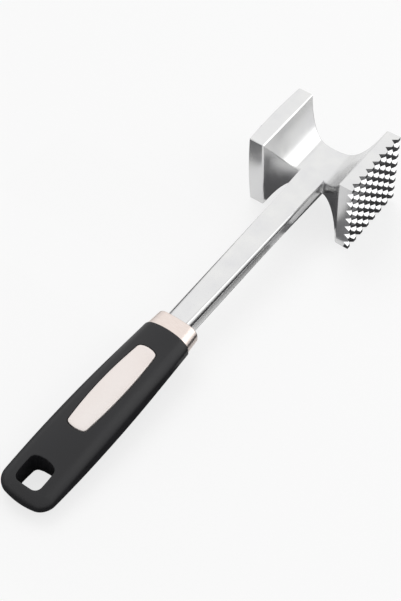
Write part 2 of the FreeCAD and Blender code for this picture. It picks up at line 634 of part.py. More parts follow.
# ---------------------------------------------------------------- grip
def make_grip():
    body = new_body("grip")
    plan = new_sketch(body, "Plan", "XY_Plane")
    handle_outline(plan, "0")
    feature(body, "Pad", "Blank", plan, f"4 * {BELLY_HALF_THICK}", SideType="Symmetric")
    side = new_sketch(body, "Side", "YZ_Plane")
    over_the_belly(side, "0")
    front_cut = through(body, "FrontCut", side)
    mirror(body, "BackCut", [front_cut])

    def long_edge(edge):
        """True for the edges between the arched faces and the sides."""
        return not (at_y(edge, -value(GRIP_AT)) or runs_along(edge, Vector(0, 0, 1))
                    or runs_along(edge, Vector(1, 0, 0)))

    def beside_bevel(edge):
        """True for the edges on either side of the bevel, the only face that is not a cylinder's."""
        faces = body.Tip.Shape.ancestorsOfType(edge, Part.Face)
        return sorted(type(face.Surface).__name__ for face in faces) == ["BSplineSurface", "Cylinder"]

    # three bevels that touch one arc: a fillet between these arched faces has ten times the facets
    radius = f"min(Sizes.grip_round; 0.95 * {BUTT_HALF_THICK})"
    chamfer(body, "LongBevels", f"(2 - sqrt(2)) * {radius}", long_edge)
    chamfer(body, "SmallBevels", f"(tan(22.5 deg) - tan(11.25 deg)) * {radius}", beside_bevel)
    chamfer(body, "FrontLip", "Sizes.grip_lip", lambda edge: at_y(edge, -value(GRIP_AT)))

    hole = new_sketch(body, "HangHoleShape", "XY_Plane")
    hole_outline(hole, "0")
    through(body, "HangHole", hole)

    def hole_rim(edge):
        middle = edge.CenterOfMass
        return (abs(middle.x) < value("Sizes.hole_width / 2 + 0.1")
                and abs(middle.y + value(HOLE_AT)) < value("Sizes.hole_length / 2 + 0.1")
                and not runs_along(edge, Vector(0, 0, 1)))

    chamfer(body, "HoleLip", "Sizes.hole_lip", hole_rim)

    room = new_sketch(body, "CoreRoom", "XY_Plane")
    handle_outline(room, "(Sizes.core_skin - Sizes.fit)")
    hole_outline(room, "(Sizes.core_web - Sizes.fit)")
    feature(body, "Pocket", "Cavity", room, f"2 * ({CORE_HALF_THICK} + Sizes.fit)",
            SideType="Symmetric")
    windows = new_sketch(body, "WindowShape", "XY_Plane")
    inlay_outline(windows, "Sizes.window_gap")
    through(body, "Windows", windows)
    return body


# ---------------------------------------------------------------- inlays
def make_inlay(name, back):
    body = new_body(name)
    if back:
        body.Placement.Rotation = FreeCAD.Rotation(Vector(0, 1, 0), 180)
    plan = new_sketch(body, "Plan", "XY_Plane", SEAT)
    inlay_outline(plan, "0")
    feature(body, "Pad", "Blank", plan, "2 * Sizes.inlay_depth + Sizes.inlay_proud")
    side = new_sketch(body, "Side", "YZ_Plane")
    over_the_belly(side, "Sizes.inlay_proud")
    through(body, "Face", side)

    def face_edge(edge):
        """True for the edges round the arched face."""
        return (edge.CenterOfMass.z > value(SEAT) + 0.1
                and not runs_along(edge, Vector(0, 0, 1))
                and not runs_along(edge, Vector(1, 0, 0)))

    chamfer(body, "Bevel", "Sizes.inlay_bevel", face_edge)
    pegs = new_sketch(body, "PegShape", "XY_Plane", SEAT)
    peg_circles(pegs, "Sizes.peg_diameter")
    feature(body, "Pad", "Pegs", pegs, "Sizes.peg_length", Reversed=True)
    return body


# ---------------------------------------------------------------- pins
def make_tang_pins():
    body = new_body("tang_pins")
    body.AllowCompound = True
    feature(body, "Pad", "Pins", pin_circles(body, "Sizes.pin_diameter"),
            f"2 * ({SEAT} - Sizes.pin_sunk)", SideType="Symmetric")
    return body


# ---------------------------------------------------------------- build, check and write
bodies = [make_head_casting(), make_ferrule(), make_handle_core(), make_grip(),
          make_inlay("front_inlay", False), make_inlay("back_inlay", True), make_tang_pins()]
doc.recompute()

for item in doc.Objects:
    if "Invalid" in item.State or "Error" in item.State:
        raise RuntimeError(f"{item.Label} failed: {item.getStatusString()}")
for body in bodies:
    if body.Shape.isNull() or not body.Shape.isValid():
        raise RuntimeError(f"{body.Label} has no valid shape")

os.makedirs("parts", exist_ok=True)
for body in bodies:
    body.Shape.exportStep(f"parts/{body.Label}.step")
    print(body.Label, len(body.Shape.Solids), "solid(s),", round(body.Shape.Volume), "mm3")
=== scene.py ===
# %% [markdown]
# # A two-sided meat mallet
# The mallet is one aluminium casting: a smooth plate, a toothed plate, the waist between them
# and a shaft. A champagne-coloured ferrule covers the end of the shaft, and a soft rubber grip
# with two pearl inlays covers a plastic core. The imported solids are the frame, and each visible
# piece is modelled over its own solid, so nothing has to be fitted by eye.

# %% Load the frame
import json
from math import ceil, copysign, pi, radians, sqrt

import bmesh
import bpy
from mathutils import Matrix, Vector

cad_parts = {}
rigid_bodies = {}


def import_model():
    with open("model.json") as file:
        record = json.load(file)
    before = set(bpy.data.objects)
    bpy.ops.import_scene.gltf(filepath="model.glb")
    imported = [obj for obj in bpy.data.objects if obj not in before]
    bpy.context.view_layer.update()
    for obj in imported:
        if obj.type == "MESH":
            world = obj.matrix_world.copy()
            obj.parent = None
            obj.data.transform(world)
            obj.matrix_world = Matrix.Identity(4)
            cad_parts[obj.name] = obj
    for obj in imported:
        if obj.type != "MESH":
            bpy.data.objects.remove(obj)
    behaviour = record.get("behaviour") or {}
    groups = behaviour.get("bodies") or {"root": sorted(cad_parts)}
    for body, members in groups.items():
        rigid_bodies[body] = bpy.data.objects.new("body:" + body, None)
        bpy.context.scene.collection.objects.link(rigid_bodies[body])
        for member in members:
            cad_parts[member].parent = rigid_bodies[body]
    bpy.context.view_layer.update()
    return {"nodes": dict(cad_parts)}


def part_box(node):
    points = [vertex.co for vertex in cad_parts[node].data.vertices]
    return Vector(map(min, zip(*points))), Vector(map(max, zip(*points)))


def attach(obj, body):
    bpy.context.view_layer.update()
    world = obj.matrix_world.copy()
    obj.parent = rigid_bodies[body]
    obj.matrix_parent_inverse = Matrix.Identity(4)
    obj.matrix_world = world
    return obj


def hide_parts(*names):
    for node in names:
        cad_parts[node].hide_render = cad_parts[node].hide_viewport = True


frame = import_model()
nodes = frame["nodes"]
for name in nodes:
    low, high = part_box(name)
    print(name, [round(1000 * size, 1) for size in high - low], "mm")

# %% [markdown]
# ## Where everything is drawn
# Every piece is drawn in millimetres about the axis of the shaft, with y = 0 in the middle of
# the head, and is moved to its place at the end. That keeps the numbers short, and the middle
# of the casting is a plane of symmetry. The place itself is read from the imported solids.

# %% The axis of the shaft
FACE = 50.0
head_low, head_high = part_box("head_casting")
ferrule_low, ferrule_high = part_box("ferrule")
AXIS = Vector(((ferrule_low.x + ferrule_high.x) / 2, head_high.y - FACE / 2000,
               (head_low.z + head_high.z) / 2))


def in_place(point):
    """A point drawn in millimetres about the axis, in metres in the frame."""
    return AXIS + Vector(point) / 1000


print("axis in millimetres:", [round(1000 * value, 2) for value in AXIS])

# %% [markdown]
# ## The camera
# The camera looks down on the mallet from the front right, from about 0.7 m. A long lens keeps
# both plates nearly square. The sensor is as wide as the long side of the picture, so the focal
# length in pixels gives the lens.

# %% Camera
EYE = (267.01, -439.87, 557.51)
RIGHT = Vector((0.7982, 0.6013, -0.0362))
UP = Vector((-0.4643, 0.6523, 0.5992))
SENSOR = 36
FOCAL_PIXELS = 1293.15
LONG_SIDE_PIXELS = 601
camera = bpy.data.objects.new("camera", bpy.data.cameras.new("camera"))
bpy.context.scene.collection.objects.link(camera)
bpy.context.scene.camera = camera
camera.matrix_world = (Matrix.Translation(in_place(EYE))
                       @ Matrix((RIGHT, UP, RIGHT.cross(UP))).transposed().to_4x4())
camera.data.sensor_width = SENSOR
camera.data.lens = SENSOR * FOCAL_PIXELS / LONG_SIDE_PIXELS
camera.data.clip_start = 0.05
camera.data.clip_end = 50
bpy.context.scene.view_settings.view_transform = "Standard"
print("lens", round(camera.data.lens, 2), "mm")

# %% [markdown]
# ## A small vocabulary for materials
# Colours are written as a designer would, in sRGB, and made linear in one place. One function
# adds a node with its settings and its links. A finish then reads as a recipe: its constants,
# its patterns with their width in millimetres, what drifts with them, and how high they stand.

# %% Nodes
def linear(colour):
    """An sRGB colour such as '#3a3a3c', as the linear values that nodes expect."""
    parts = [int(colour[start:start + 2], 16) / 255 for start in (1, 3, 5)]
    return [part / 12.92 if part <= 0.04045 else ((part + 0.055) / 1.055) ** 2.4
            for part in parts] + [1.0]


def add(owner, kind, inputs=None, **settings):
    """Adds one node to a material or a world, with its settings, and a value or a link for
    each input it names."""
    node = owner.node_tree.nodes.new("ShaderNode" + kind)
    for key, value in settings.items():
        setattr(node, key, value)
    for key, value in (inputs or {}).items():
        if isinstance(value, bpy.types.NodeSocket):
            owner.node_tree.links.new(value, node.inputs[key])
        else:
            node.inputs[key].default_value = value
    return node


# %% [markdown]
# Every finish is a Principled shader with some constants and some patterns. What is the same all
# over is set on the shader itself.

# %% Finishes and patterns
def shader_of(material):
    """The Principled shader that every finish is built on."""
    return material.node_tree.nodes["Principled BSDF"]


def new_finish(name, **constants):
    """A finish whose constants are set, with an underscore for each space in their names."""
    material = bpy.data.materials.new(name)
    material.use_nodes = True
    for key, value in constants.items():
        shader_of(material).inputs[key.replace("_", " ")].default_value = value
    print("finish:", name)
    return material


def grain(material, width, detail=2.0, stretch=(1, 1, 1)):
    """A cloudy pattern from 0 to 1 on the object's own coordinates, so many millimetres wide."""
    place = add(material, "TexCoord").outputs["Object"]
    turned = add(material, "Mapping", {"Vector": place, "Scale": stretch}).outputs["Vector"]
    return add(material, "TexNoise", {"Vector": turned, "Scale": 1000 / width,
                                      "Detail": detail}).outputs["Fac"]


# %% [markdown]
# A pattern does two things to a finish. It carries a quality such as the colour or the gloss a
# little to and fro, and it is raised as a relief, which the light then picks out.

# %% What a pattern does
MIX_SHARE, MIX_FIRST, MIX_SECOND, MIX_COLOUR = 0, 6, 7, 2


def drift(material, quality, pattern, first, second, start=0.3, end=0.7):
    """Lets a pattern carry one quality of a finish between two values or two colours."""
    coloured = isinstance(first, str)
    low, high = (0.0, 1.0) if coloured else (first, second)
    result = add(material, "MapRange", {"Value": pattern, "From Min": start, "From Max": end,
                                        "To Min": low, "To Max": high}).outputs["Result"]
    if coloured:
        result = add(material, "Mix", {MIX_SHARE: result, MIX_FIRST: linear(first),
                                       MIX_SECOND: linear(second)},
                     data_type="RGBA").outputs[MIX_COLOUR]
    material.node_tree.links.new(result, shader_of(material).inputs[quality])


def relief(material, *layers):
    """Raises patterns, one on top of the other, each by its own height in millimetres."""
    under = {}
    for pattern, height in layers:
        layer = add(material, "Bump", {"Height": pattern, "Distance": height / 1000,
                                       "Strength": 1.0, **under})
        under = {"Normal": layer.outputs["Normal"]}
    material.node_tree.links.new(under["Normal"], shader_of(material).inputs["Normal"])


# %% [markdown]
# ## Cast metal
# The head and shaft are aluminium, cast, tumbled and polished to a satin. The eye reads it from
# three things: a bright, nearly neutral colour, reflections blurred by a fine haze, and a very
# faint unevenness left by the polishing, in clouds a centimetre wide and specks of less than
# half a millimetre. A metal's colour is its reflection, so the base colour is high and hardly
# varies, while the roughness carries the variation.

# %% Cast metal
cast_metal = new_finish("satin_cast_aluminium", Metallic=1.0)
clouds = grain(cast_metal, 11.1, 3)
specks = grain(cast_metal, 0.385)
drift(cast_metal, "Base Color", clouds, "#d5d5d6", "#dddddc")
drift(cast_metal, "Roughness", clouds, 0.2, 0.26)
relief(cast_metal, (clouds, 0.02), (specks, 0.003))

# %% [markdown]
# ## Champagne metal
# The ferrule is a drawn metal sleeve with a warm, rosy plating. It was brushed round and round,
# so its grain is long round the sleeve and short along it: the pattern is squeezed along Y. Real
# brush marks are finer than a pixel, so they are drawn as coarse as they need to show.

# %% Champagne metal
ferrule_metal = new_finish("brushed_champagne_metal", Metallic=1.0)
brushing = grain(ferrule_metal, 3.33, 3, stretch=(1, 14, 1))
drift(ferrule_metal, "Base Color", brushing, "#dccfc8", "#e6dbd5")
drift(ferrule_metal, "Roughness", brushing, 0.28, 0.36)
relief(ferrule_metal, (brushing, 0.004))

# %% [markdown]
# ## Soft rubber
# The grip is moulded in soft rubber, nearly black. Its skin is matt because the mould was
# eroded to a fine grain of about a sixth of a millimetre. Handling polishes it here and there,
# so its roughness and its black drift a little over a few centimetres.

# %% Soft rubber
grip_rubber = new_finish("soft_touch_rubber", IOR=1.45)
skin = grain(grip_rubber, 0.1667)
handled = grain(grip_rubber, 16.7, 3)
drift(grip_rubber, "Base Color", handled, "#161618", "#1b1b1e")
drift(grip_rubber, "Roughness", handled, 0.42, 0.5)
relief(grip_rubber, (skin, 0.014))

# %% [markdown]
# ## Pearl plastic
# The inlays are moulded in a glossy plastic filled with pearl flakes, about a fifth of a
# millimetre wide. The flakes float in a clear base, so the colour shimmers by a hair between a
# warm white and a rosier one, and a clear coat lies over them.

# %% Pearl plastic
inlay_plastic = new_finish("pearl_plastic", IOR=1.5, Coat_Weight=0.6, Coat_Roughness=0.08,
                           Coat_IOR=1.5)
flakes = grain(inlay_plastic, 0.222, 1)
flow = grain(inlay_plastic, 22.2, stretch=(1, 0.4, 1))
drift(inlay_plastic, "Base Color", flow, "#f6ebe6", "#fbf3ef")
drift(inlay_plastic, "Roughness", flakes, 0.26, 0.36)
drift(inlay_plastic, "Metallic", flakes, 0.0, 0.3, start=0.55, end=0.8)

# %% [markdown]
# ## The hidden finishes
# The core under the rubber and the two steel pins through it are only seen when the mallet is
# taken apart. They keep their solids from the frame and still get real finishes: a plastic from
# a lightly eroded mould, whose fine grain makes it dull, and drawn steel turned to size, whose
# marks run round the pins and stretch the highlights along them.

# %% Hidden finishes
core_plastic = new_finish("moulded_black_plastic", IOR=1.5)
moulding = grain(core_plastic, 0.556)
drift(core_plastic, "Base Color", moulding, "#27272a", "#2d2d30")
drift(core_plastic, "Roughness", moulding, 0.42, 0.52)
relief(core_plastic, (moulding, 0.01))

pin_steel = new_finish("drawn_steel", Metallic=1.0)
turning = grain(pin_steel, 2.0, stretch=(1, 1, 10))
drift(pin_steel, "Base Color", turning, "#bdbdbb", "#c9c9c6")
drift(pin_steel, "Roughness", turning, 0.22, 0.34)
relief(pin_steel, (turning, 0.003))

for name, material in (("handle_core", core_plastic), ("tang_pins", pin_steel)):
    nodes[name].data.materials.clear()
    nodes[name].data.materials.append(material)

# %% [markdown]
# ## Helpers for shapes
# A piece starts as a bmesh in millimetres. Its points, edges and faces are picked by where they
# lie and how they run. Two places count as the same within a micrometre, and after a cut within
# ten. A face whose normal has hardly any Z stands upright.

# %% Helpers for shapes
X, Y, Z = range(3)
SAME = 0.001
NEAR = 0.01
UPRIGHT = 0.1


def points(parts):
    """The points among the parts that an operator returns."""
    return [part for part in parts if isinstance(part, bmesh.types.BMVert)]


def closed(bm):
    """Whether a shape has no open edge."""
    return all(edge.is_manifold for edge in bm.edges)


def lies_at(part, axis, place):
    """Whether an edge or a face lies in one plane across an axis."""
    return all(abs(vert.co[axis] - place) < SAME for vert in part.verts)


def run_of(edge, axis):
    """How far an edge runs along an axis."""
    one, two = edge.verts
    return abs(one.co[axis] - two.co[axis])


def round_off(bm, parts, radius, segments, affect="EDGES"):
    """Rounds edges, or single points, of a shape."""
    bmesh.ops.bevel(bm, geom=parts, offset=radius, affect=affect, segments=segments,
                    profile=0.5, material=-1)


def slice_at(bm, point, normal, outside=False):
    """Cuts a shape along a plane, and clears what lies beyond it if asked."""
    bmesh.ops.bisect_plane(bm, geom=bm.verts[:] + bm.edges[:] + bm.faces[:], dist=SAME / 10,
                           plane_co=point, plane_no=normal, clear_outer=outside)


# %% [markdown]
# ## The teeth
# The toothed side is a field of four-sided pyramids, cut off at the edges of the plate, so that
# the outer ones are only part teeth. Modelling sixty-four pyramids by hand is dull and
# inexact. Here a grid of squares faces the strike axis, and every square is inset by half a
# tooth while its middle rises by as much, which gives flanks of 45 degrees.

# %% Teeth
PITCH = 6.8
TIP_FLAT = 0.7
VALLEY = 31.25
TOOTH_HEIGHT = (PITCH - TIP_FLAT) / 2
ACROSS = 2 * ceil(FACE / 2 / PITCH)

head = bmesh.new()
bmesh.ops.create_grid(head, x_segments=ACROSS, y_segments=ACROSS, size=ACROSS * PITCH / 2)
bmesh.ops.rotate(head, verts=head.verts, matrix=Matrix.Rotation(pi / 2, 3, "Y"))
bmesh.ops.translate(head, verts=head.verts, vec=(VALLEY, 0, 0))
bmesh.ops.inset_individual(head, faces=head.faces[:], thickness=TOOTH_HEIGHT,
                           depth=TOOTH_HEIGHT)
print("teeth across:", ACROSS, "tips at", round(max(vert.co.x for vert in head.verts), 2), "mm")

# %% [markdown]
# A cast tooth has no knife edges. Its four ridges and its tip get a tiny round, and then the
# field is trimmed to the plate with four cuts.

# %% Rounded ridges, trimmed field
EDGE_OF_TOOTH = 0.3
ridges = [edge for edge in head.edges
          if run_of(edge, X) > 1 or edge.verts[0].co.x > VALLEY + 1]
round_off(head, ridges, EDGE_OF_TOOTH, 3)
for normal in (Vector((0, 1, 0)), Vector((0, -1, 0)), Vector((0, 0, 1)), Vector((0, 0, -1))):
    slice_at(head, normal * FACE / 2, normal, outside=True)
print("tooth field:", len(head.faces), "faces")

# %% [markdown]
# ## The plates
# Each plate is the outline of its striking face drawn back to the waist. The open rim is
# extruded, its new points are laid in one plane, and the strips on each side are dissolved
# into a single flat face, which shades cleanly.

# %% Toothed plate
INNER = 25.5


def draw_back(bm, rim, x):
    """Extrudes an open square rim to a plane, and leaves one flat face on each of its sides."""
    made = bmesh.ops.extrude_edge_only(bm, edges=rim)["geom"]
    for vert in points(made):
        vert.co.x = x
    strips = [part for part in made if isinstance(part, bmesh.types.BMFace)]
    for axis in (Y, Z):
        for side in (-1, 1):
            flat = [face for face in strips if face.is_valid
                    and abs(face.calc_center_median()[axis] - side * FACE / 2) < NEAR]
            bmesh.ops.dissolve_faces(bm, faces=flat)
    spare = [vert for vert in bm.verts if abs(vert.co.x - x) < SAME
             and min(abs(vert.co.y), abs(vert.co.z)) < FACE / 2 - NEAR]
    bmesh.ops.dissolve_verts(bm, verts=spare)


def open_rim(bm):
    """The edges where a shape is still open."""
    return [edge for edge in bm.edges if edge.is_boundary]


draw_back(head, open_rim(head), INNER)
print("rim of the toothed plate:", len(open_rim(head)), "edges")

# %% [markdown]
# ## The waist
# Between the plates the casting narrows in two directions at once. Seen from the shaft, its
# front and back are hollows that flatten out in line with the shaft. Seen from the front, its
# sides are arcs that meet the plates at their full width. The square rim is carried from one
# plate to the other in small steps, and each step is given its own height and depth.

# %% Waist
SHAFT_HALF = 7.75
SHAFT_THICK = 5.6
WAIST_HALF = 11.8
STEPS = [23.6, 22.2, 20.8, 19.6, 18.4, 17.2, 16.0, 14.8, 13.6, 12.4, 11.2, 10.0,
         SHAFT_HALF, 4.0]


def waist_height(x):
    """Half the waist from front to back."""
    beyond = max(abs(x) - SHAFT_HALF, 0)
    return SHAFT_THICK + (FACE / 2 - SHAFT_THICK) * (beyond / (INNER - SHAFT_HALF)) ** 2


def waist_depth(x):
    """Half the waist along the shaft: an arc through the plates' rims."""
    rise = FACE / 2 - WAIST_HALF
    radius = (INNER ** 2 + rise ** 2) / (2 * rise)
    return WAIST_HALF + radius - sqrt(radius ** 2 - x ** 2)


rim = open_rim(head)
for x in STEPS + [0.0] + [-step for step in reversed(STEPS)] + [-INNER]:
    made = bmesh.ops.extrude_edge_only(head, edges=rim)["geom"]
    for vert in points(made):
        vert.co = (x, copysign(waist_depth(x), vert.co.y), copysign(waist_height(x), vert.co.z))
    rim = [edge for edge in made if isinstance(edge, bmesh.types.BMEdge) and edge.is_boundary]
print("waist:", round(2 * waist_depth(0), 1), "x", round(2 * waist_height(0), 1), "mm")

# %% [markdown]
# ## The smooth plate
# The smooth face isn't flat. It is crowned by less than two millimetres, so that a blow doesn't
# cut the meat with the plate's edge. A finer grid is laid on a large sphere, drawn back in the
# same way and merged with the waist.

# %% Smooth plate
CROWN_RADIUS = 347.0
PLATE_THICK = 11.2
SMOOTH_TOP = -(INNER + PLATE_THICK)

plate = bmesh.new()
bmesh.ops.create_grid(plate, x_segments=12, y_segments=12, size=FACE / 2)
bmesh.ops.rotate(plate, verts=plate.verts, matrix=Matrix.Rotation(-pi / 2, 3, "Y"))
for vert in plate.verts:
    vert.co.x = (SMOOTH_TOP + CROWN_RADIUS
                 - sqrt(CROWN_RADIUS ** 2 - vert.co.y ** 2 - vert.co.z ** 2))
draw_back(plate, open_rim(plate), -INNER)
smooth_plate = bpy.data.meshes.new("smooth_plate")
plate.to_mesh(smooth_plate)
plate.free()
head.from_mesh(smooth_plate)
bpy.data.meshes.remove(smooth_plate)
bmesh.ops.remove_doubles(head, verts=head.verts, dist=SAME)
print("head closed:", closed(head))

# %% [markdown]
# ## The shaft
# The shaft grows out of the side of the waist, in one piece with it. The faces in the middle of
# that side are extruded to the ferrule. The front of the shaft and of the waist lie in one
# plane, so they are dissolved into one face and no seam shows between them.

# %% Shaft
SHAFT_FREE = 113.2
SHAFT_IN_FERRULE = 2.7
SHAFT_END = -(FACE / 2 + SHAFT_FREE + SHAFT_IN_FERRULE)


def draw_out(bm, faces, y):
    """Extrudes faces along the shaft to a plane, and clears those they leave behind."""
    made = points(bmesh.ops.extrude_face_region(bm, geom=faces)["geom"])
    bmesh.ops.delete(bm, geom=[face for face in faces if face.is_valid], context="FACES")
    for vert in made:
        vert.co.y = y


socket = [face for face in head.faces
          if face.calc_center_median().y < 0 and abs(face.normal.z) < UPRIGHT
          and all(abs(vert.co.x) < SHAFT_HALF + NEAR for vert in face.verts)]
draw_out(head, socket, SHAFT_END)
for side in (-1, 1):
    flat = [face for face in head.faces if lies_at(face, Z, side * SHAFT_THICK)]
    bmesh.ops.dissolve_faces(head, faces=flat, use_verts=True)
end = [face for face in head.faces if lies_at(face, Y, SHAFT_END)]
end = bmesh.ops.dissolve_faces(head, faces=end, use_verts=True)["region"]
print("shaft closed:", closed(head))

# %% [markdown]
# Inside the handle the shaft goes on as a slimmer tang. The end of the shaft is inset,
# squeezed to the tang's width and drawn out once more.

# %% Tang
TANG_END = -217.0
TANG_THICK = 3.0
bmesh.ops.inset_region(head, faces=end, thickness=SHAFT_THICK - TANG_THICK,
                       use_even_offset=True)
draw_out(head, end, TANG_END)
print("tang closed:", closed(head))

# %% [markdown]
# ## The roundings of the casting
# No edge of a casting is sharp, and it is the bright line along each edge that tells the eye
# so. The widths differ: the shaft's long edges are well rounded, its root in the waist less,
# and the plates' rims only broken. Each edge gets a weight, and a single Bevel modifier reads
# them. Its hardened normals keep the flat faces flat to the light.

# %% Edge widths
LONG_EDGE = 3.0
ROOT_EDGE = 2.0
INNER_EDGE = 0.8
OUTER_EDGE = 0.4
STRAIGHT = 0.99
SHARP = 0.9
widths = head.edges.layers.float.new("bevel_weight_edge")


def edge_width(edge):
    """How far one edge of the casting is rounded, in millimetres. An edge is straight along an
    axis if nearly all of its way is, and sharp if its faces turn by more than 50 degrees."""
    one, two = (vert.co for vert in edge.verts)
    middle = (one + two) / 2
    way = (two - one).normalized()
    sharp = edge.calc_face_angle(0) > SHARP
    if len(edge.link_faces) < 2 or middle.y < SHAFT_END + NEAR and abs(way.y) < STRAIGHT:
        return 0
    if abs(way.y) > STRAIGHT and SHAFT_END - NEAR < middle.y < -waist_depth(SHAFT_HALF):
        return LONG_EDGE if abs(abs(middle.x) - SHAFT_HALF) < NEAR else 0
    if abs(abs(middle.x) - SHAFT_HALF) < SAME and abs(way.z) > STRAIGHT and middle.y < 0:
        return ROOT_EDGE
    if abs(abs(middle.x) - INNER) < SAME:
        return INNER_EDGE
    if middle.x > INNER and abs(way.x) > STRAIGHT:
        return OUTER_EDGE if min(abs(middle.y), abs(middle.z)) > FACE / 2 - NEAR else 0
    if middle.x < -INNER:
        return OUTER_EDGE if sharp else 0
    return INNER_EDGE if sharp and abs(middle.x) < INNER else 0


for edge in head.edges:
    edge[widths] = edge_width(edge) / LONG_EDGE
print("rounded edges:", sum(edge[widths] > 0 for edge in head.edges))

# %% [markdown]
# ## A finished piece
# When its shape is ready, a piece is scaled to metres, moved to its place and smoothed, and
# then it takes its body, its slot and its finish. It stands for the node it is named after.

# %% Finished pieces
def finish_piece(name, bm, material, sharp=30):
    """A finished piece from a bmesh drawn in millimetres, with creases from that angle on."""
    bmesh.ops.scale(bm, vec=(0.001, 0.001, 0.001), verts=bm.verts)
    bmesh.ops.translate(bm, vec=AXIS, verts=bm.verts)
    bmesh.ops.recalc_face_normals(bm, faces=bm.faces)
    whole = closed(bm)
    mesh = bpy.data.meshes.new(name)
    bm.to_mesh(mesh)
    bm.free()
    mesh.shade_smooth()
    mesh.set_sharp_from_angle(angle=radians(sharp))
    mesh.materials.append(material)
    piece = bpy.data.objects.new(name + "_shape", mesh)
    bpy.context.scene.collection.objects.link(piece)
    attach(piece, "root")
    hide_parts(name)
    print(piece.name, len(mesh.polygons), "faces, closed:", whole)
    return piece


# %% [markdown]
# The casting is the first to be finished. Its Bevel modifier rounds each edge by its weight.

# %% Head casting
head_piece = finish_piece("head_casting", head, cast_metal)
rounding = head_piece.modifiers.new("edges", "BEVEL")
rounding.limit_method = "WEIGHT"
rounding.width = LONG_EDGE / 1000
rounding.segments = 5
rounding.profile = 0.5
rounding.use_clamp_overlap = False
rounding.harden_normals = True

# %% [markdown]
# ## The ferrule
# The ferrule is a sleeve that opens slightly towards the grip. A cube is beveled along its four
# long edges, its back end is enlarged, and its front rim is rounded. Its inside is cut last, by
# boxes rounded in the same way. The exact boolean cuts them, and the result is kept as a plain
# mesh.

# %% Cutting
def cut(bm, *cutters):
    """Takes the cutters' shapes out of a bmesh, all drawn in millimetres."""
    scene = bpy.context.scene.collection.objects
    blank = bpy.data.objects.new("blank", bpy.data.meshes.new("blank"))
    bmesh.ops.recalc_face_normals(bm, faces=bm.faces)
    bm.to_mesh(blank.data)
    scene.link(blank)
    made = [blank]
    for cutter in cutters:
        bmesh.ops.recalc_face_normals(cutter, faces=cutter.faces)
        tool = bpy.data.objects.new("cutter", bpy.data.meshes.new("cutter"))
        cutter.to_mesh(tool.data)
        cutter.free()
        scene.link(tool)
        made.append(tool)
        boolean = blank.modifiers.new("cut", "BOOLEAN")
        boolean.operation = "DIFFERENCE"
        boolean.solver = "EXACT"
        boolean.object = tool
    evaluated = blank.evaluated_get(bpy.context.evaluated_depsgraph_get())
    bm.clear()
    bm.from_mesh(evaluated.to_mesh())
    for thing in made:
        mesh = thing.data
        bpy.data.objects.remove(thing)
        bpy.data.meshes.remove(mesh)
    bmesh.ops.remove_doubles(bm, verts=bm.verts, dist=SAME / 2)


# %% [markdown]
# A rounded box serves for the sleeve and for both its openings. Slices along a piece give its
# broad faces the points they need to fall away to the sides, and weighted normals keep the
# roundings from shading those faces.

# %% Rounded boxes, slices and shading
def rounded_box(half_width, half_thick, front, back, radius, segments=8):
    """A box along the shaft from front to back, with its four long edges rounded."""
    bm = bmesh.new()
    bmesh.ops.create_cube(bm, size=2)
    bmesh.ops.scale(bm, verts=bm.verts, vec=(half_width, (front - back) / 2, half_thick))
    bmesh.ops.translate(bm, verts=bm.verts, vec=(0, (front + back) / 2, 0))
    along = [edge for edge in bm.edges if run_of(edge, Y) > (front - back) / 2]
    round_off(bm, along, radius, segments)
    return bm


def edges_at(bm, y):
    """The edges that lie in one plane across the shaft."""
    return [edge for edge in bm.edges if lies_at(edge, Y, y)]


def slice_lengthwise(bm):
    """Slices a piece every two millimetres of its width, so that its faces can be crowned."""
    for x in range(-10, 11, 2):
        slice_at(bm, (x, 0, 0), (1, 0, 0))


def steady_shading(piece):
    """Lets the broad faces of a piece lead its shading, so that they look flat."""
    piece.modifiers.new("normals", "WEIGHTED_NORMAL").keep_sharp = True


# %% [markdown]
# The sleeve is crowned a little less than the grip, so that the grip stands proud of it all
# round. The shaft's opening leaves a hair's clearance, and behind it is the room for the
# core's spigot.

# %% Ferrule
FERRULE_FRONT = -138.2
FERRULE_BACK = -148.2
SLIM_WIDTH, SLIM_THICK = 12.8, 6.95
FULL_WIDTH, FULL_THICK = 13.7, 7.4
FERRULE_CROWN = 0.2
CLEARANCE = 0.1
SPIGOT_WIDTH, SPIGOT_THICK, SPIGOT_CORNER = 12.1, 5.8, 4.2
BEYOND = 5

ferrule = rounded_box(SLIM_WIDTH, SLIM_THICK, FERRULE_FRONT, FERRULE_BACK, radius=5.2,
                      segments=12)
bmesh.ops.scale(ferrule, vec=(FULL_WIDTH / SLIM_WIDTH, 1, FULL_THICK / SLIM_THICK),
                verts=[vert for vert in ferrule.verts if vert.co.y < FERRULE_BACK + NEAR])
round_off(ferrule, edges_at(ferrule, FERRULE_FRONT), 0.7, 4)
slice_lengthwise(ferrule)
for vert in ferrule.verts:
    vert.co.z *= 1 - FERRULE_CROWN * (vert.co.x / FULL_WIDTH) ** 2
opening = rounded_box(SHAFT_HALF + CLEARANCE, SHAFT_THICK + CLEARANCE,
                      FERRULE_FRONT + BEYOND, FERRULE_BACK - BEYOND, radius=3.2)
spigot_room = rounded_box(SPIGOT_WIDTH, SPIGOT_THICK, SHAFT_END, FERRULE_BACK - BEYOND,
                          radius=SPIGOT_CORNER)
cut(ferrule, opening, spigot_room)
steady_shading(finish_piece("ferrule", ferrule, ferrule_metal))

# %% [markdown]
# ## The line of the grip
# Two curves describe the grip. Seen from the front it widens gently to the palm swell and
# narrows again. Seen from the side it rises to a belly and falls to a thin butt. All of them
# are arcs, so a small function that gives the drop of an arc is enough for both.

# %% Places along the grip
GRIP_FRONT = FERRULE_BACK
GRIP_BACK = -267.2
PALM_RUN = 83.8
PALM = GRIP_FRONT - PALM_RUN
TURN = 28.5
BELLY = GRIP_FRONT - 2 * TURN
BUTT_BOW = 45.0
BUTT_HALF = 16.1
BUTT_CORNER = GRIP_BACK + BUTT_BOW - sqrt(BUTT_BOW ** 2 - BUTT_HALF ** 2)

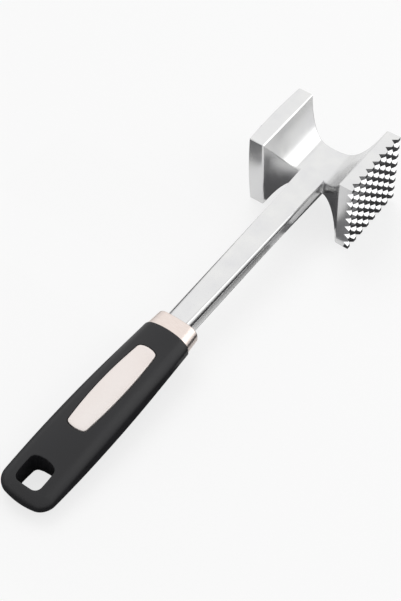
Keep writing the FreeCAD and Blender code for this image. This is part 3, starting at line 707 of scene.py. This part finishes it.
# %% [markdown]
# The width and the thickness at any place follow from them. A few are printed, to be held
# against the size of a hand.

# %% Line of the grip
PALM_HALF, PALM_RISE, PALM_FALL = 16.6, 2.2, 0.5
FRONT_THICK, BELLY_THICK, TURN_RISE, BUTT_FALL = 8.2, 9.7, 0.75, 3.5


def drop(distance, run, fall):
    """How far an arc that falls by fall over run has fallen at that distance."""
    radius = (run ** 2 + fall ** 2) / (2 * fall)
    return radius - sqrt(radius ** 2 - distance ** 2)


def grip_half_width(y):
    """Half the grip from side to side: one arc up to the palm, and one from it to the butt."""
    if y > PALM:
        return PALM_HALF - drop(y - PALM, PALM_RUN, PALM_RISE)
    return PALM_HALF - drop(PALM - y, PALM - BUTT_CORNER, PALM_FALL)


def grip_half_thick(y):
    """Half the grip from front to back: a hollow arc, one up to the belly, one to the butt."""
    if y > BELLY + TURN:
        return FRONT_THICK + drop(GRIP_FRONT - y, TURN, TURN_RISE)
    if y > BELLY:
        return BELLY_THICK - drop(y - BELLY, TURN, TURN_RISE)
    return BELLY_THICK - drop(BELLY - y, BELLY - GRIP_BACK, BUTT_FALL)


print("grip:", [(y, round(grip_half_width(y), 2), round(grip_half_thick(y), 2))
                for y in (GRIP_FRONT, -177, BELLY, PALM, -264)])

# %% [markdown]
# ## The blank of the grip
# A strip of squares is pulled to the outline, its two corners at the butt are rounded, and it
# is dissolved into one face. Extruded, it is a flat bar with the right outline. Everything that
# has to be cut and rounded is done in the flat, where it is easy, and the bar is bent last.

# %% Blank of the grip
FLAT_HALF = BELLY_THICK
SIDE_ROWS = 28
LAST_ROW = -255.7
ACROSS_BUTT = [-1.0, -0.6, -0.4, -0.2, 0.0, 0.2, 0.4, 0.6, 1.0]
BUTT_ROUND = 6.19


def thicken(bm, height):
    """Makes a plate of a flat shape."""
    made = bmesh.ops.extrude_face_region(bm, geom=bm.faces[:], use_keep_orig=True)["geom"]
    bmesh.ops.translate(bm, vec=(0, 0, height), verts=points(made))
    bmesh.ops.recalc_face_normals(bm, faces=bm.faces)


grip = bmesh.new()
bmesh.ops.create_grid(grip, x_segments=len(ACROSS_BUTT) - 1, y_segments=SIDE_ROWS, size=1)
for vert in grip.verts:
    across = ACROSS_BUTT[round((vert.co.x + 1) / 2 * (len(ACROSS_BUTT) - 1))]
    row = round((1 - vert.co.y) / 2 * SIDE_ROWS)
    if row < SIDE_ROWS:
        y = GRIP_FRONT + (LAST_ROW - GRIP_FRONT) * row / (SIDE_ROWS - 1)
        vert.co = (across * grip_half_width(y), y, -FLAT_HALF)
    else:
        x = across * BUTT_HALF
        vert.co = (x, GRIP_BACK + drop(x, BUTT_HALF, BUTT_CORNER - GRIP_BACK), -FLAT_HALF)
bmesh.ops.dissolve_faces(grip, faces=grip.faces[:], use_verts=False)
spare = [vert for vert in grip.verts if vert.co.y > GRIP_FRONT - NEAR
         and abs(vert.co.x) < grip_half_width(GRIP_FRONT) - NEAR]
bmesh.ops.dissolve_verts(grip, verts=spare)
corners = [vert for vert in grip.verts
           if abs(vert.co.x) > BUTT_HALF - NEAR and vert.co.y < BUTT_CORNER + NEAR]
round_off(grip, corners, BUTT_ROUND, 9, affect="VERTICES")
thicken(grip, 2 * FLAT_HALF)
print("blank closed:", closed(grip))

# %% [markdown]
# The long edges of the bar are rounded wide, for the hand. The edge that meets the ferrule is
# rounded just enough to show a fine line there.

# %% Long edges
EDGE_ROUND = 5.6
FRONT_ROUND = 0.9
outline = [edge for edge in grip.edges if run_of(edge, Z) < SAME
           and min(vert.co.y for vert in edge.verts) < GRIP_FRONT - NEAR]
round_off(grip, outline, EDGE_ROUND, 10)
round_off(grip, edges_at(grip, GRIP_FRONT), FRONT_ROUND, 3)
print("grip:", len(grip.faces), "faces")

# %% [markdown]
# ## Holes in the grip
# The hang hole and the inlays have the same kind of outline: four arcs with rounded corners. It
# starts as a small grid, whose points are moved onto the arcs. The hole's end towards the head
# is bowed, and its far corners are rounder. An inlay is a slender shield with bowed ends.

# %% A plate with four bowed sides
def end_at(x, half_length, bow):
    """How far out an end with that bow lies, at a place across it."""
    return half_length - bow + sqrt(bow ** 2 - x ** 2)


def bowed_plate(middle, half_length, half_end, swell, bows, corners, low, high, rows=4):
    """A plate from low to high, bounded by four arcs. Its sides swell by that much between its
    ends, and the first bow and corner are those of the end towards the head."""
    bm = bmesh.new()
    bmesh.ops.create_grid(bm, x_segments=4, y_segments=rows, size=1)
    for vert in bm.verts:
        bow = bows[vert.co.y < 0]
        reach = end_at(half_end, half_length, bow)
        x = vert.co.x * (half_end + swell - drop(vert.co.y * reach, reach, swell))
        y = vert.co.y * reach
        if abs(vert.co.y) > 1 - NEAR:
            y = copysign(end_at(x, half_length, bow), y)
        vert.co = (x, middle + y, low)
    bmesh.ops.dissolve_faces(bm, faces=bm.faces[:])
    for side, radius in zip((1, -1), corners):
        reach = end_at(half_end, half_length, bows[side < 0])
        sharp = [vert for vert in bm.verts if abs(abs(vert.co.x) - half_end) < SAME
                 and abs(vert.co.y - middle - side * reach) < NEAR]
        round_off(bm, sharp, radius, 7, affect="VERTICES")
    thicken(bm, high - low)
    return bm


# %% [markdown]
# An inlay and its recess share one outline, and the recess is grown by the gap between them.

# %% Outline of an inlay
INLAY_MIDDLE = -192.8
INLAY_LENGTH = 29.9
INLAY_END = 5.7
INLAY_SWELL = 1.7
INLAY_BOW = 13.5
INLAY_CORNER = 1.3
SEAT = 7.0


def inlay_blank(grow, low, high):
    """An inlay's outline, grown all round, as a plate."""
    return bowed_plate(INLAY_MIDDLE, INLAY_LENGTH + grow, INLAY_END + grow, INLAY_SWELL,
                       (INLAY_BOW + grow, INLAY_BOW + grow), (INLAY_CORNER, INLAY_CORNER),
                       low, high, rows=16)


# %% [markdown]
# The three cuts are made in the flat bar, right through it for the hole and down to the seats
# for the inlays, with a narrow gap round each of them.

# %% Hang hole and recesses
HOLE = -252.3
GAP = 0.45
THROUGH = 20
hole = bowed_plate(HOLE, half_length=8.2, half_end=7.5, swell=0.3, bows=(18.0, 70.0),
                   corners=(1.8, 3.2), low=-THROUGH, high=THROUGH)
cut(grip, hole, inlay_blank(GAP, SEAT, THROUGH), inlay_blank(GAP, -THROUGH, -SEAT))
print("cut closed:", closed(grip))

# %% [markdown]
# The boolean leaves some points nearly on top of each other, and long seams across the skin
# beside the hole. Both would pinch a rounding, so the points are merged and the seams
# dissolved. Then the rims between the walls and the skin are rounded, as the mould would leave
# them.

# %% Rims
CLOSE = 0.02
LONG_SEAM = 16


def rims(bm, middle, reach):
    """The edges between the walls of a hole and the skin of the flat bar."""
    return [edge for edge in bm.edges if len(edge.link_faces) == 2 and run_of(edge, Z) < SAME
            and all(abs(abs(vert.co.z) - FLAT_HALF) < SAME
                    and abs(vert.co.y - middle) < reach for vert in edge.verts)
            and min(abs(face.normal.z) for face in edge.link_faces) < UPRIGHT]


bmesh.ops.remove_doubles(grip, verts=grip.verts, dist=CLOSE)
bmesh.ops.recalc_face_normals(grip, faces=grip.faces)
seams = [edge for edge in grip.edges
         if edge.calc_length() > LONG_SEAM and edge.calc_face_angle() < 0.001]
bmesh.ops.dissolve_edges(grip, edges=seams, use_verts=False)
for middle, reach, radius in ((HOLE, 9, 0.7), (INLAY_MIDDLE, 31, 0.3)):
    around = rims(grip, middle, reach)
    round_off(grip, around, radius, 4)
    print("rim edges:", len(around))

# %% [markdown]
# ## The belly and the crown
# The bar is sliced every three millimetres along, and every two across. Its points are then
# moved towards the middle plane, until the flat faces follow the line of the belly and fall
# away to the sides. The rounded edges move with the faces, and the walls between them shrink.

# %% Belly and crown
SLICE = 3.0
WALL = FLAT_HALF - EDGE_ROUND
CROWN_SHARE = 0.38
BROW = 0.7
BROW_DEPTH = 6


def bend(bm):
    """Slices a flat piece of the handle, and bends it to the belly and the crown. The middle of
    its front edge is pushed out a little, like a brow."""
    y = GRIP_FRONT - SLICE
    while y > GRIP_BACK + 1:
        slice_at(bm, (0, y, 0), (0, 1, 0))
        y -= SLICE
    slice_lengthwise(bm)
    for vert in bm.verts:
        y = max(vert.co.y, GRIP_BACK)
        thick = grip_half_thick(y)
        height = abs(vert.co.z)
        if height > WALL:
            height = height - FLAT_HALF + thick
        else:
            height = height * (thick - EDGE_ROUND) / WALL
        fall = (vert.co.x / grip_half_width(y)) ** 2
        vert.co.z = copysign(height * (1 - CROWN_SHARE * fall), vert.co.z)
        vert.co.y += BROW * (1 - fall) * max(0, 1 - (GRIP_FRONT - y) / BROW_DEPTH)


bend(grip)
steady_shading(finish_piece("grip", grip, grip_rubber, sharp=40))

# %% [markdown]
# ## The inlays
# An inlay is made in the flat as well: the same outline, a little smaller than its recess, with
# the edge of its face rounded and a low pad raised on it. Bent like the grip, it follows its
# skin. The one on the back is the same piece, mirrored through the middle plane.

# %% Inlays
PROUD = 0.1
PAD_INSET = 1.0
PAD_RISE = 0.25
FACE_ROUND = 0.3
for name, side in (("front_inlay", 1), ("back_inlay", -1)):
    inlay = inlay_blank(0, SEAT, FLAT_HALF + PROUD)
    face = [face for face in inlay.faces if face.calc_center_median().z > FLAT_HALF]
    face_rim = list(face[0].edges)
    bmesh.ops.inset_region(inlay, faces=face, thickness=PAD_INSET, depth=PAD_RISE)
    round_off(inlay, face_rim, FACE_ROUND, 3)
    bend(inlay)
    bmesh.ops.scale(inlay, vec=(1, 1, side), verts=inlay.verts)
    steady_shading(finish_piece(name, inlay, inlay_plastic))

# %% [markdown]
# ## The table
# Laid down, the mallet rests on the lower edges of both plates and near the butt of its grip.
# The table passes through those three and so isn't quite level in the frame. Of all the lines
# from the plates' edge to the underside of the grip, the one that falls lowest there touches
# it without cutting in.

# %% Plane of the table
edge_line = Vector((0, -FACE / 2, -FACE / 2))
touch = min(range(-262, -205),
            key=lambda y: (FACE / 2 - grip_half_thick(y)) / (-FACE / 2 - y))
touch_line = Vector((0, touch, -grip_half_thick(touch)))
slope = (touch_line - edge_line).normalized()
lean = Matrix((Vector((1, 0, 0)), -slope, Vector((1, 0, 0)).cross(-slope))).transposed()
print("the grip rests at", touch, "mm")


def lay_down(name, sheet, surface):
    """A sheet drawn level and in metres about the plates' edge, laid in the table's plane."""
    bmesh.ops.rotate(sheet, verts=sheet.verts, matrix=lean)
    bmesh.ops.translate(sheet, verts=sheet.verts, vec=in_place(edge_line))
    mesh = bpy.data.meshes.new(name)
    sheet.to_mesh(mesh)
    sheet.free()
    mesh.materials.append(surface)
    piece = bpy.data.objects.new(name, mesh)
    bpy.context.scene.collection.objects.link(piece)
    return piece


# %% [markdown]
# The table is a pale, matt paper that runs out of sight, with fibres about a millimetre wide.
# The eye and the reflections see it three quarters of the way lifted to pure white, so it is as
# bright as the room and ends nowhere, while it still takes the mallet's shadow.

# %% Table
WHITENING = 0.75
table_surface = new_finish("table_surface", IOR=1.5)
fibres = grain(table_surface, 1.11, 3)
drift(table_surface, "Base Color", fibres, "#f4f4f4", "#f7f7f7")
drift(table_surface, "Roughness", fibres, 0.8, 0.9)
path = add(table_surface, "LightPath")
either = add(table_surface, "Math", {0: path.outputs["Is Camera Ray"],
                                     1: path.outputs["Is Glossy Ray"]}, operation="MAXIMUM")
lift = add(table_surface, "Math", {0: either.outputs[0], 1: WHITENING}, operation="MULTIPLY")
white = add(table_surface, "Emission", {"Strength": 1.0})
lifted = add(table_surface, "MixShader", {0: lift.outputs[0], 2: white.outputs[0],
                                          1: shader_of(table_surface).outputs[0]})
table_surface.node_tree.links.new(
    lifted.outputs[0], table_surface.node_tree.nodes["Material Output"].inputs["Surface"])
table = bmesh.new()
bmesh.ops.create_circle(table, cap_ends=True, segments=64, radius=6)
lay_down("table", table, table_surface)

# %% [markdown]
# ## Light
# A pale studio lights a satin metal best. The surroundings give an even, low light, and they
# look white where the eye or a reflection meets them.

# %% Surroundings
AMBIENT = 0.55
world = bpy.data.worlds.new("studio")
bpy.context.scene.world = world
world.use_nodes = True
path = add(world, "LightPath")
either = add(world, "Math", {0: path.outputs["Is Camera Ray"],
                             1: path.outputs["Is Glossy Ray"]}, operation="MAXIMUM")
seen = add(world, "Math", {0: either.outputs[0], 1: path.outputs["Is Transmission Ray"]},
           operation="MAXIMUM")
level = add(world, "MapRange", {"Value": seen.outputs[0], "To Min": AMBIENT, "To Max": 1.0})
background = world.node_tree.nodes["Background"]
background.inputs["Color"].default_value = linear("#ffffff")
world.node_tree.links.new(level.outputs["Result"], background.inputs["Strength"])

# %% [markdown]
# Two wide soft lamps, one behind the mallet and one on its right, put a sheen on the faces that
# mirror them.

# %% Lamps
SHAFT_SPOT = (0, -80, 0)


def soft_lamp(name, place, width, height, power):
    """A rectangular lamp at a place in millimetres, of a size in metres, aimed at the shaft."""
    lamp = bpy.data.objects.new(name, bpy.data.lights.new(name, "AREA"))
    lamp.data.shape = "RECTANGLE"
    lamp.data.size = width
    lamp.data.size_y = height
    lamp.data.energy = power
    lamp.location = in_place(place)
    aim = in_place(SHAFT_SPOT) - lamp.location
    lamp.rotation_euler = aim.to_track_quat("-Z", "Y").to_euler()
    bpy.context.scene.collection.objects.link(lamp)
    print("lamp:", name, power, "W")


soft_lamp("rear", (-420, 480, 900), width=0.8, height=0.9, power=0.35)
soft_lamp("side", (620, 420, 600), width=1.0, height=0.8, power=2.2)

# %% [markdown]
# A broad sun from the upper left gives the direction and the soft shadow. It makes no highlight
# of its own, because a metal would show it as a white disc.

# %% Sun
SUN_WAY = Vector((0.5, -0.45, -0.85))
SUN_SPREAD = 35
sun = bpy.data.objects.new("key", bpy.data.lights.new("key", "SUN"))
sun.data.energy = 0.8
sun.data.angle = radians(SUN_SPREAD)
sun.rotation_euler = SUN_WAY.to_track_quat("-Z", "Y").to_euler()
sun.visible_glossy = False
bpy.context.scene.collection.objects.link(sun)
print("sun:", round(sun.data.energy, 2), "W per square metre")

# %% [markdown]
# ## Painted shade in the reflections
# A bright metal in an all-white room has no edges. Here a few dark sheets lie flat on the table,
# side by side, and only reflections show them: they are painted reflections of the shade on the
# table round the mallet. Those on the right paint the dark line along the shaft and the grip and
# the shade on the lower flanks of the teeth. Those below and on the left paint shade on the
# faces that look to the front.

# %% Painted shade in the reflections
LIFT = 0.3


def painted_shade_sheet(name, colour, left, right, near, far):
    """A sheet of painted shade that lies on the table, seen only in reflections, between two
    places across and two along the shaft.
    """
    paper = new_finish(name, Base_Color=linear(colour), Roughness=0.9)
    sheet = bmesh.new()
    bmesh.ops.create_grid(sheet, x_segments=1, y_segments=1, size=0.5)
    bmesh.ops.scale(sheet, verts=sheet.verts, vec=((right - left) / 1000, (far - near) / 1000, 1))
    middle = Vector(((left + right) / 2, (near + far) / 2 + FACE / 2, LIFT)) / 1000
    bmesh.ops.translate(sheet, verts=sheet.verts, vec=middle)
    piece = lay_down(name, sheet, paper)
    # Only reflections see the sheet, so its dark colour is painted shade in the metal and rubber.
    piece.visible_camera = False
    piece.visible_diffuse = False
    piece.visible_shadow = False


# Painted shade: each sheet's colour sets how dark the reflections of the table are made there.
painted_shade_sheet("painted_shade_by_the_head", "#3c3c3e", 31, 400, -28, 260)
painted_shade_sheet("painted_shade_by_the_plate", "#9c9c9e", 18, 400, -50, -28)
painted_shade_sheet("painted_shade_by_the_shaft", "#1c1c1e", 17, 400, -126, -50)
painted_shade_sheet("painted_shade_by_the_grip", "#303032", 21.5, 400, -300, -126)
painted_shade_sheet("painted_shade_by_the_butt", "#606062", -200, 21.5, -330, -152)
painted_shade_sheet("painted_shade_below", "#8a8a8c", -22, 18, -38, 45)
painted_shade_sheet("painted_shade_on_the_left", "#707072", -160, -44, -110, -48)
